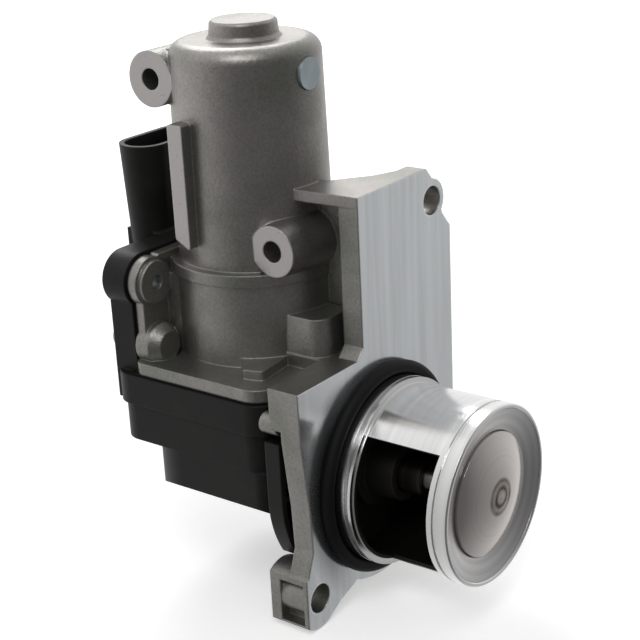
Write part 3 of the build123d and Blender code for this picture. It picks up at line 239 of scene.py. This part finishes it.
def makeCastAluminium():
    values = {
        "metallic": 0.9, "rough": 0.46, "blotchRough": -0.16, "edge": 0.0007,
        "grainScale": 1300.0, "grain": ((0.33, 0.86), (0.62, 1.08)), "grainDepth": 0.00012, "bump": 0.8,
        "blotchScale": 42.0, "blotch": ((0.36, 0.0), (0.64, 1.0)),
        "light": (0.345, 0.325, 0.310), "dark": (0.245, 0.248, 0.222),
        "pit": (0.07, 0.065, 0.055), "pits": ((0.0, 1.0), (0.13, 0.0)), "pitShare": 0.5,
        "faceReach": 0.00003, "facing": -0.95,
        "milled": (0.84, 0.87, 0.89), "milledRough": -0.2,
        "sweepScale": (260.0, 1.0, 14.0), "sweepTurn": 25.783,
        "sweepNoise": {"Scale": 1.0, "Detail": 4.0, "Distortion": 0.5}, "sweep": ((0.3, 0.88), (0.7, 1.05)),
        # the grey near the O-ring on the milled face is painted shade
        "paintedShade": (0.20, 0.205, 0.21), "paintedShadeReach": 0.040, "paintedShadeFade": ((0.78, 1.0), (0.97, 0.0)),
        "paintedShadeSide": -0.016, "sideReach": 0.0125, "sideFade": ((0.0, 0.0), (0.8, 0.85)),
        "ground": (0.46, 0.44, 0.43), "groundRough": -0.08, "groundPitShare": 0.8,
        "sideFace": -0.0177, "markFace": -0.0252,
        # the dark colour inside the tube's bore is partly soot, partly painted shade
        "sootAndShade": (0.070, 0.068, 0.060), "sootAndShadeRough": 0.25, "tubeRadius": 0.0262, "sootAndShadeFront": 0.0045,
    }
    material, tree, shader = newMaterial("castAluminium", values["metallic"], values["rough"])
    skin = useGroup(tree, castSkin, Grain_scale=values["grainScale"], Blotch_scale=values["blotchScale"])
    colour = mixColour(tree, ramp(tree, skin["Blotch"], values["blotch"]), values["dark"], values["light"])
    colour = tinted(tree, colour, ramp(tree, skin["Grain"], values["grain"]))
    pits = ramp(tree, skin["Pits"], values["pits"])
    colour = mixColour(tree, mathNode(tree, "MULTIPLY", pits, values["pitShare"]), colour, values["pit"])
    place, parts, facing, radius = whereabouts(tree)

    def flatFace(axis, level):
        # 1 on the flat face that lies at a level of an axis and looks back along it
        apart = mathNode(tree, "ABSOLUTE", mathNode(tree, "SUBTRACT", parts[axis], level))
        near = mathNode(tree, "LESS_THAN", apart, values["faceReach"])
        return mathNode(tree, "MULTIPLY", near, mathNode(tree, "LESS_THAN", facing[axis], values["facing"]))

    # the mounting face at Y 0 outside the tube is milled: bright, smooth, with broad swept marks
    outside = mathNode(tree, "GREATER_THAN", radius, values["tubeRadius"])
    milled = mathNode(tree, "MULTIPLY", flatFace("Y", 0.0), outside)
    turn = (0, radians(values["sweepTurn"]), 0)
    stretch = addNode(tree, "ShaderNodeMapping", {"Scale": values["sweepScale"], "Rotation": turn})
    sweep = addNode(tree, "ShaderNodeTexNoise", values["sweepNoise"])
    join(tree, (place, stretch.inputs[0]), (stretch.outputs[0], sweep.inputs["Vector"]))
    face = tinted(tree, values["milled"], ramp(tree, sweep.outputs["Fac"], values["sweep"]))
    # near the O-ring the face gets a grey painted shade on the left, standing in for the dark reflection and
    # shadow round the ring
    near = ramp(tree, mathNode(tree, "DIVIDE", radius, values["paintedShadeReach"]), values["paintedShadeFade"])
    aside = mathNode(tree, "SUBTRACT", values["paintedShadeSide"], parts["X"])
    left = ramp(tree, mathNode(tree, "DIVIDE", aside, values["sideReach"]), values["sideFade"])
    face = mixColour(tree, mathNode(tree, "MULTIPLY", near, left), face, values["paintedShade"])
    colour = mixColour(tree, milled, colour, face)
    # the ear, the boss and the marking rib are ground flat on the side towards -X
    ground = mathNode(tree, "MAXIMUM", flatFace("X", values["sideFace"]), flatFace("X", values["markFace"]))
    groundPits = mathNode(tree, "MULTIPLY", pits, values["groundPitShare"])
    colour = mixColour(tree, ground, colour, mixColour(tree, groundPits, values["ground"], values["pit"]))
    # inside the tube the bore is darkened: partly exhaust soot, partly painted shade where the bore lies in
    # shadow
    inside = mathNode(tree, "LESS_THAN", radius, values["tubeRadius"])
    sootyAndShaded = mathNode(tree, "MULTIPLY", inside, mathNode(tree, "LESS_THAN", parts["Y"], values["sootAndShadeFront"]))
    colour = mixColour(tree, sootyAndShaded, colour, values["sootAndShade"])
    rough = raised(tree, values["rough"], skin["Blotch"], values["blotchRough"])
    for mask, step in ((milled, "milledRough"), (ground, "groundRough"), (sootyAndShaded, "sootAndShadeRough")):
        rough = raised(tree, rough, mask, values[step])
    join(tree, (colour, shader.inputs["Base Color"]), (rough, shader.inputs["Roughness"]))
    height = mathNode(tree, "MULTIPLY", skin["Grain"], mathNode(tree, "SUBTRACT", 1.0, milled))
    addBump(tree, shader, height, values["grainDepth"], values["bump"], values["edge"])
    return material


def makeTurned(name, bright, dull, rough, lineScale, lineDepth, edge, sootAndShade=None):
    # metal turned round the valve's axis, darkened inside a radius and inwards of an end: partly soot, partly
    # painted shade on the bore and the window's cut faces
    values = {
        "bandScale": 0.125, "bands": ((0.3, 0.0), (0.7, 1.0)),
        "roughStart": -0.05, "roughStep": 0.12, "sootAndShadeRough": 0.4, "bump": 0.8,
    }
    material, tree, shader = newMaterial(name, 1.0, rough)
    skin = useGroup(tree, turnedSkin, Line_scale=lineScale, Band_scale=lineScale * values["bandScale"])
    colour = mixColour(tree, ramp(tree, skin["Bands"], values["bands"]), dull, bright)
    rough = raised(tree, rough + values["roughStart"], skin["Lines"], values["roughStep"])
    if sootAndShade:
        inside = mathNode(tree, "LESS_THAN", skin["Radius"], sootAndShade["radius"])
        sootyAndShaded = mathNode(tree, "MULTIPLY", inside, mathNode(tree, "GREATER_THAN", skin["Depth"], sootAndShade["end"]))
        colour = mixColour(tree, sootyAndShaded, colour, sootAndShade["colour"])
        rough = raised(tree, rough, sootyAndShaded, values["sootAndShadeRough"])
    join(tree, (colour, shader.inputs["Base Color"]), (rough, shader.inputs["Roughness"]))
    addBump(tree, shader, skin["Lines"], lineDepth, values["bump"], edge)
    return material


def makeDiscSteel():
    # polished steel with brown heat rings round the weld in the middle
    values = {
        "steel": (0.70, 0.66, 0.635), "bands": ((0.3, 0.94), (0.7, 1.04)), "rough": 0.15, "heatRough": 0.3,
        "lineScale": 2100.0, "bandScale": 320.0, "lineDepth": 0.000006, "bump": 0.6, "edge": 0.0003,
        "heat": (0.10, 0.065, 0.04), "heatReach": 0.0104, "cloudScale": 300.0, "cloudStart": 0.5,
        "rings": ((0.0, 0.35), (0.16, 0.45), (0.25, 1.0), (0.36, 0.45), (0.46, 0.8), (0.56, 0.12), (1.0, 0.0)),
    }
    material, tree, shader = newMaterial("discSteel", 1.0, values["rough"])
    skin = useGroup(tree, turnedSkin, Line_scale=values["lineScale"], Band_scale=values["bandScale"])
    cloud = useGroup(tree, castSkin, Blotch_scale=values["cloudScale"])
    rings = ramp(tree, mathNode(tree, "DIVIDE", skin["Radius"], values["heatReach"]), values["rings"])
    cloudy = mathNode(tree, "ADD", cloud["Blotch"], values["cloudStart"])
    heat = mathNode(tree, "MINIMUM", mathNode(tree, "MULTIPLY", rings, cloudy), 1.0)
    steel = tinted(tree, values["steel"], ramp(tree, skin["Bands"], values["bands"]))
    join(
        tree,
        (mixColour(tree, heat, steel, values["heat"]), shader.inputs["Base Color"]),
        (raised(tree, values["rough"], heat, values["heatRough"]), shader.inputs["Roughness"]),
    )
    addBump(tree, shader, skin["Lines"], values["lineDepth"], values["bump"], values["edge"])
    return material


def makeStemSteel():
    # ground steel, clean at the front of the tube's window and darkened from there inwards: partly soot, partly
    # painted shade where the stem runs back into shadow
    values = {
        "steel": (0.60, 0.58, 0.55), "sootAndShade": (0.04, 0.037, 0.034), "sootAndShadeEnd": -0.0165, "fade": 0.004,
        "rough": 0.3, "lineScale": 1800.0, "bandScale": 400.0, "lineDepth": 0.00001, "bump": 0.6, "edge": 0.0002,
    }
    material, tree, shader = newMaterial("stemSteel", 1.0, values["rough"])
    skin = useGroup(tree, turnedSkin, Line_scale=values["lineScale"], Band_scale=values["bandScale"])
    inwards = mathNode(tree, "SUBTRACT", skin["Depth"], values["sootAndShadeEnd"])
    uneven = raised(tree, inwards, mathNode(tree, "SUBTRACT", skin["Bands"], 0.5), values["fade"])
    sootyAndShaded = ramp(tree, mathNode(tree, "DIVIDE", uneven, values["fade"]), ((0.0, 0.0), (1.0, 1.0)))
    join(tree, (mixColour(tree, sootyAndShaded, values["steel"], values["sootAndShade"]), shader.inputs["Base Color"]))
    addBump(tree, shader, skin["Lines"], values["lineDepth"], values["bump"], values["edge"])
    return material


def makeMoulded(name, colour, shade, rough, depth, edge):
    # moulded plastic or rubber: fine spark-eroded grain with faint cloudy wear
    values = {
        "specular": 0.22, "grainScale": 1500.0, "blotchScale": 70.0, "cloud": ((0.35, 0.0), (0.68, 1.0)),
        "roughStart": -0.08, "roughStep": 0.18, "bump": 0.7,
    }
    material, tree, shader = newMaterial(name, 0.0, rough, Specular_IOR_Level=values["specular"])
    skin = useGroup(tree, castSkin, Grain_scale=values["grainScale"], Blotch_scale=values["blotchScale"])
    colour = mixColour(tree, ramp(tree, skin["Blotch"], values["cloud"]), colour, shade)
    rough = raised(tree, rough + values["roughStart"], skin["Blotch"], values["roughStep"])
    join(tree, (colour, shader.inputs["Base Color"]), (rough, shader.inputs["Roughness"]))
    addBump(tree, shader, skin["Grain"], depth, values["bump"], edge)
    return material


def makeMetal(name, colour, rough, spread, grainScale=900.0):
    # plain machined, plated or wound metal, its colour lighter and darker by the spread
    values = {
        "blotchScale": 120.0, "blotchEnds": (0.3, 0.7), "roughStart": -0.06, "roughStep": 0.14,
        "grainDepth": 0.00002, "bump": 0.6, "edge": 0.0002,
    }
    material, tree, shader = newMaterial(name, 1.0, rough)
    skin = useGroup(tree, castSkin, Grain_scale=grainScale, Blotch_scale=values["blotchScale"])
    low, high = values["blotchEnds"]
    colour = tinted(tree, colour, ramp(tree, skin["Blotch"], ((low, 1.0 - spread), (high, 1.0 + spread))))
    rough = raised(tree, rough + values["roughStart"], skin["Grain"], values["roughStep"])
    join(tree, (colour, shader.inputs["Base Color"]), (rough, shader.inputs["Roughness"]))
    addBump(tree, shader, skin["Grain"], values["grainDepth"], values["bump"], values["edge"])
    return material


turned = {
    "turnedAluminium": {
        "bright": (0.86, 0.85, 0.84), "dull": (0.72, 0.725, 0.73), "rough": 0.18,
        "lineScale": 2400.0, "lineDepth": 0.00001, "edge": 0.0002,
        # soot and painted shade inside the bore and on the window's cut faces
        "sootAndShade": {"radius": 0.0253, "end": -0.0318, "colour": (0.05, 0.047, 0.042)},
    },
    "seatSteel": {
        "bright": (0.66, 0.64, 0.63), "dull": (0.52, 0.525, 0.53), "rough": 0.24,
        "lineScale": 3000.0, "lineDepth": 0.00001, "edge": 0.0002,
    },
    "sootySteel": {
        "bright": (0.10, 0.09, 0.075), "dull": (0.04, 0.037, 0.034), "rough": 0.45,
        "lineScale": 1800.0, "lineDepth": 0.00002, "edge": 0.0003,
    },
}
moulded = {
    "blackPlastic": {
        "colour": (0.007, 0.0072, 0.0065), "shade": (0.013, 0.0135, 0.012),
        "rough": 0.46, "depth": 0.00006, "edge": 0.0007,
    },
    "blackRubber": {
        "colour": (0.003, 0.003, 0.003), "shade": (0.006, 0.006, 0.006),
        "rough": 0.6, "depth": 0.00004, "edge": 0.0,
    },
    "creamPlastic": {
        "colour": (0.62, 0.58, 0.47), "shade": (0.70, 0.66, 0.55),
        "rough": 0.45, "depth": 0.00003, "edge": 0.0003,
    },
    "brownPlastic": {
        "colour": (0.16, 0.085, 0.04), "shade": (0.22, 0.12, 0.06),
        "rough": 0.5, "depth": 0.00003, "edge": 0.0003,
    },
    "boardGreen": {
        "colour": (0.02, 0.14, 0.06), "shade": (0.03, 0.18, 0.08),
        "rough": 0.4, "depth": 0.00002, "edge": 0.0,
    },
    "darkMagnet": {
        "colour": (0.05, 0.05, 0.052), "shade": (0.09, 0.09, 0.09),
        "rough": 0.55, "depth": 0.00003, "edge": 0.0002,
    },
}
metals = {
    "steel": {"colour": (0.58, 0.57, 0.55), "rough": 0.3, "spread": 0.1},
    "springSteel": {"colour": (0.40, 0.40, 0.41), "rough": 0.32, "spread": 0.08},
    "zincPlate": {"colour": (0.50, 0.56, 0.60), "rough": 0.42, "spread": 0.14},
    "bronze": {"colour": (0.50, 0.36, 0.19), "rough": 0.36, "spread": 0.12},
    "copper": {"colour": (0.62, 0.30, 0.15), "rough": 0.34, "spread": 0.12},
    "tinnedBrass": {"colour": (0.66, 0.64, 0.56), "rough": 0.3, "spread": 0.08},
    "laminate": {"colour": (0.33, 0.33, 0.34), "rough": 0.5, "spread": 0.1, "grainScale": 3000.0},
}
looks = {"castAluminium": makeCastAluminium(), "discSteel": makeDiscSteel(), "stemSteel": makeStemSteel()}
for make, kinds in ((makeTurned, turned), (makeMoulded, moulded), (makeMetal, metals)):
    for name, values in kinds.items():
        looks[name] = make(name, **values)

nodeLooks = {
    "castAluminium": ["valve_housing", "gear_plate"],
    "turnedAluminium": ["valve_tube"],
    "seatSteel": ["valve_seat"],
    "sootySteel": ["stem_guide"],
    "discSteel": ["valve_disc"],
    "stemSteel": ["valve_stem"],
    "blackPlastic": ["gear_cover", "sensor_chip"],
    "blackRubber": ["flange_o_ring", "stem_seal", "cover_seal"],
    "creamPlastic": ["idler_wheel", "sector_gear"],
    "brownPlastic": ["brush_holder"],
    "boardGreen": ["sensor_board"],
    "darkMagnet": ["motor_magnet_left", "motor_magnet_right", "sensor_magnet", "brush_left", "brush_right"],
    "steel": [
        "spring_plate", "stem_yoke", "output_crank", "crank_roller", "idler_pin", "output_pin",
        "idler_pinion", "motor_pinion", "motor_shaft",
    ],
    "springSteel": ["return_spring"],
    "zincPlate": [
        "core_plug", "motor_can", "plate_screw_1", "plate_screw_2", "plate_screw_3",
        "cover_screw_1", "cover_screw_2", "cover_screw_3", "cover_screw_4",
    ],
    "bronze": ["upper_bearing", "lower_bearing"],
    "copper": ["commutator", "armature_windings"],
    "tinnedBrass": ["terminal_1", "terminal_2", "terminal_3", "terminal_4", "terminal_5"],
    "laminate": ["armature_core"],
}
for look, names in nodeLooks.items():
    for name in names:
        nodes[name].data.materials.clear()
        nodes[name].data.materials.append(looks[look])
print("materials on", sum(len(names) for names in nodeLooks.values()), "nodes")


def surfacePiece(name, grid, look):
    # a closed tube from a grid of points (rows along, columns round, xyz), with a flat face on each end
    rows, columns = grid.shape[:2]
    index = np.arange(rows * columns).reshape(rows, columns)
    beside = np.roll(index, -1, axis=1)
    quads = np.stack([index[:-1], index[1:], beside[1:], beside[:-1]], axis=-1).reshape(-1, 4)
    ends = [index[0].tolist(), index[-1][::-1].tolist()]
    mesh = bpy.data.meshes.new(name)
    mesh.from_pydata(grid.reshape(-1, 3), [], quads.tolist() + ends)
    mesh.polygons.foreach_set("use_smooth", np.arange(len(mesh.polygons)) < len(quads))
    mesh.materials.append(looks[look])
    piece = bpy.data.objects.new(name, mesh)
    bpy.context.scene.collection.objects.link(piece)
    return piece


def makeReturnSpring():
    # centre line (R cos a, y, R sin a): the angle a turns evenly while y runs along the valve's axis
    # round it, at the angle b, a circle of the wire's radius w: w cos b along the radius and w sin b
    # along the direction that is square to both the radius and the wire, which leans by the pitch
    values = {
        "wire": 0.0006, "turns": 3.5, "startAngle": 90.0, "stepsPerTurn": 72, "around": 14,
        "pocketFloor": 0.0065, "plateFace": 0.0190, "stroke": 0.00707,
    }
    wire, turns = values["wire"], values["turns"]
    low, high = (np.array(corner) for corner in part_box("return_spring"))
    radius = high[0] - wire
    length = high[1] - low[1] - 2 * wire
    share = np.linspace(0.0, 1.0, int(turns * values["stepsPerTurn"]) + 1)[:, None]
    angle = np.radians(values["startAngle"] - 360.0 * turns * share)
    centreY = low[1] + wire + length * share
    lean = np.arctan2(length, 2 * np.pi * turns * radius)
    wireAngle = np.linspace(0.0, 2 * np.pi, values["around"], endpoint=False)[None, :]
    ring = radius + wire * np.cos(wireAngle)
    along = wire * np.sin(wireAngle)
    grid = np.stack([
        ring * np.cos(angle) - along * sin(lean) * np.sin(angle),
        centreY + along * cos(lean),
        ring * np.sin(angle) + along * sin(lean) * np.cos(angle),
    ], axis=-1)
    spring = surfacePiece("return_spring_coil", grid, "springSteel")
    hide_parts("return_spring")
    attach(spring, "valve_body")
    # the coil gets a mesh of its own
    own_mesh(spring)
    print("return spring made")


makeReturnSpring()


def makeStage():
    # for the camera the floor glows softly and turns white far off, and it keeps the part's shadow
    values = {
        "size": 6.0, "drop": 0.0002, "colour": (0.86, 0.86, 0.86, 1), "rough": 0.9,
        "glow": 0.46, "farGlow": 1.0, "fadeStart": 0.25, "fadeEnd": 1.3,
    }
    low = loadedBox[0][2] - values["drop"]
    half = values["size"] / 2
    corners = [(-half, -half, low), (half, -half, low), (half, half, low), (-half, half, low)]
    mesh = bpy.data.meshes.new("floor")
    mesh.from_pydata(corners, [], [(0, 1, 2, 3)])
    floor = bpy.data.objects.new("floor", mesh)
    bpy.context.scene.collection.objects.link(floor)
    floor.visible_glossy = False  # so metal mirrors only the surround of makeWorld
    material, tree, shader = newMaterial("paleFloor", 0.0, values["rough"])
    shader.inputs["Base Color"].default_value = values["colour"]
    shader.inputs["Emission Color"].default_value = (1, 1, 1, 1)
    path = addNode(tree, "ShaderNodeLightPath")
    place = addNode(tree, "ShaderNodeTexCoord")
    away = addNode(tree, "ShaderNodeVectorMath", operation="LENGTH")
    fade = addNode(tree, "ShaderNodeMapRange", {
        "From Min": values["fadeStart"], "From Max": values["fadeEnd"],
        "To Min": values["glow"], "To Max": values["farGlow"],
    })
    join(tree, (place.outputs["Object"], away.inputs[0]), (away.outputs["Value"], fade.inputs["Value"]))
    glow = mathNode(tree, "MULTIPLY", path.outputs["Is Camera Ray"], fade.outputs["Result"])
    join(tree, (glow, shader.inputs["Emission Strength"]))
    mesh.materials.append(material)


def makeWorld():
    # white for the camera and through glass, a plain light level for matt surfaces,
    # and for mirrors white that dims towards dimWay, like a dark room in front of the part
    values = {
        "seen": 1.0, "light": 0.42, "dim": 0.14,
        "dimWay": (-0.45, -0.85, -0.27), "dimStart": -0.60, "dimFull": 0.68,
    }
    world = bpy.data.worlds.new("studio")
    bpy.context.scene.world = world
    world.use_nodes = True
    tree = world.node_tree
    background = tree.nodes["Background"]
    background.inputs["Color"].default_value = (1, 1, 1, 1)
    path = addNode(tree, "ShaderNodeLightPath")
    way = addNode(tree, "ShaderNodeTexCoord")
    towards = addNode(tree, "ShaderNodeVectorMath", {1: values["dimWay"]}, operation="DOT_PRODUCT")
    room = addNode(tree, "ShaderNodeMapRange", {
        "From Min": values["dimStart"], "From Max": values["dimFull"],
        "To Min": values["seen"], "To Max": values["dim"],
    })
    join(tree, (way.outputs["Generated"], towards.inputs[0]), (towards.outputs["Value"], room.inputs["Value"]))
    seen = mathNode(tree, "MAXIMUM", path.outputs["Is Camera Ray"], path.outputs["Is Transmission Ray"])
    strength = raised(tree, values["light"], seen, values["seen"] - values["light"])
    dimming = mathNode(tree, "SUBTRACT", room.outputs["Result"], strength)
    mirrored = mathNode(tree, "MULTIPLY", path.outputs["Is Glossy Ray"], dimming)
    join(tree, (mathNode(tree, "ADD", strength, mirrored), background.inputs["Strength"]))


def addLamp(name, place, target, size, power):
    # a square soft box that looks from its place at a target
    data = bpy.data.lights.new(name, "AREA")
    data.energy = power
    data.size = size
    lamp = bpy.data.objects.new(name, data)
    bpy.context.scene.collection.objects.link(lamp)
    away = np.array(place, float) - np.array(target, float)
    away /= np.linalg.norm(away)
    right = np.cross((0, 0, 1), away)
    right /= np.linalg.norm(right)
    up = np.cross(away, right)
    lamp.matrix_world = Matrix([[right[i], up[i], away[i], place[i]] for i in range(3)] + [[0, 0, 0, 1]])


def makeCamera():
    # the view of the photograph: turned left of the valve's axis, looking down a little, rolled a little
    values = {
        "azimuth": -52.15, "elevation": 20.41, "roll": -2.92, "place": (-0.32394, -0.23181, 0.19303),
        "focus": 1540.0, "pictureWidth": 640.0, "sensorWidth": 36.0, "clipStart": 0.01,
    }
    turn, rise, roll = (radians(values[key]) for key in ("azimuth", "elevation", "roll"))
    back = np.array((sin(turn) * cos(rise), -cos(turn) * cos(rise), sin(rise)))
    right = np.cross(-back, (0, 0, 1))
    right /= np.linalg.norm(right)
    up = np.cross(back, right)
    rolledRight = cos(roll) * right + sin(roll) * up
    rolledUp = -sin(roll) * right + cos(roll) * up
    data = bpy.data.cameras.new("camera")
    data.sensor_width = values["sensorWidth"]
    data.lens = values["focus"] * values["sensorWidth"] / values["pictureWidth"]
    data.clip_start = values["clipStart"]
    camera = bpy.data.objects.new("camera", data)
    bpy.context.scene.collection.objects.link(camera)
    rows = [[rolledRight[i], rolledUp[i], back[i], values["place"][i]] for i in range(3)]
    camera.matrix_world = Matrix(rows + [[0, 0, 0, 1]])
    bpy.context.scene.camera = camera


makeStage()
makeWorld()
middle = (0.0, 0.02, 0.04)
addLamp("keyLamp", place=(0.42, 0.50, 0.62), target=middle, size=0.40, power=2.4)
addLamp("fillLamp", place=(-0.55, -0.25, 0.85), target=middle, size=0.5, power=2.6)
makeCamera()
bpy.context.scene.view_settings.view_transform = "Standard"
print("stage, light and camera set")
